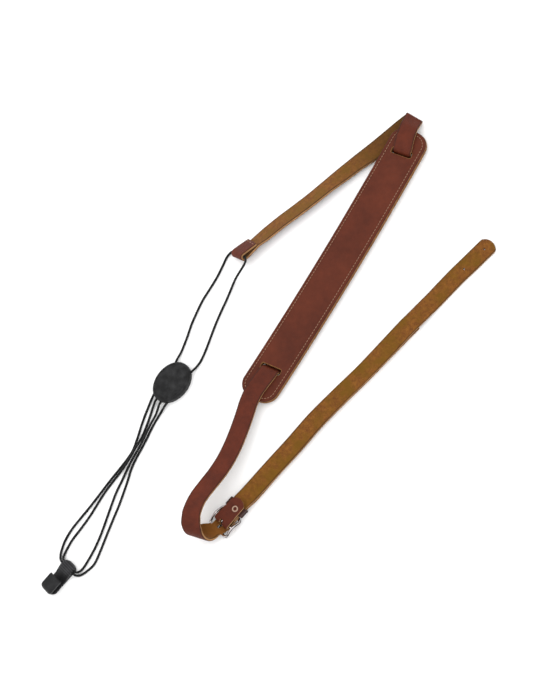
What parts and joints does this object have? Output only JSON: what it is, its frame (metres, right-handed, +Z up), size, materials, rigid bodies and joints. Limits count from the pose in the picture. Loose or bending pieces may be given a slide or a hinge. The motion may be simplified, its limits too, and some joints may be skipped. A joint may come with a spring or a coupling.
{
  "type": "ukulele strap",
  "caption": "Ukulele strap lying flat: leather straps with a stitched shoulder pad, a buckle, and a cord with a lock and a sound-hole hook.",
  "frame": {"origin": "on the surface the strap lies on, under the middle of the leather strap's box, its cord, lock and hook left out", "axes": "+Z up from the surface; +Y along the longer side of the box that holds the leather; +X towards the tail strap's rounded end"},
  "size_m": [0.3862, 0.3926, 0.0215],
  "materials": {
    "pad_leather": "smooth dark red-brown grain leather",
    "pad_suede": "brown suede back",
    "strap_leather": "red-brown grain leather, ochre suede on the flesh side",
    "keeper_leather": "dark brown grain leather",
    "buckle_metal": "bright plated steel",
    "black_plastic": "satin black plastic",
    "black_cord": "braided black elastic cord"
  },
  "bodies": {
    "root": {"shoulder_pad_top": "pad_leather", "shoulder_pad_back": "pad_suede", "long_strap": "strap_leather", "tail_strap": "strap_leather", "keeper_loop": "keeper_leather", "buckle_frame": "buckle_metal", "buckle_prong": "buckle_metal", "rivet": "buckle_metal", "cord_lock": "black_plastic", "soundhole_hook": "black_plastic", "cord_strap_loop": "black_cord", "cord_hook_loop_outer": "black_cord", "cord_hook_loop_inner": "black_cord"}
  },
  "joints": []
}
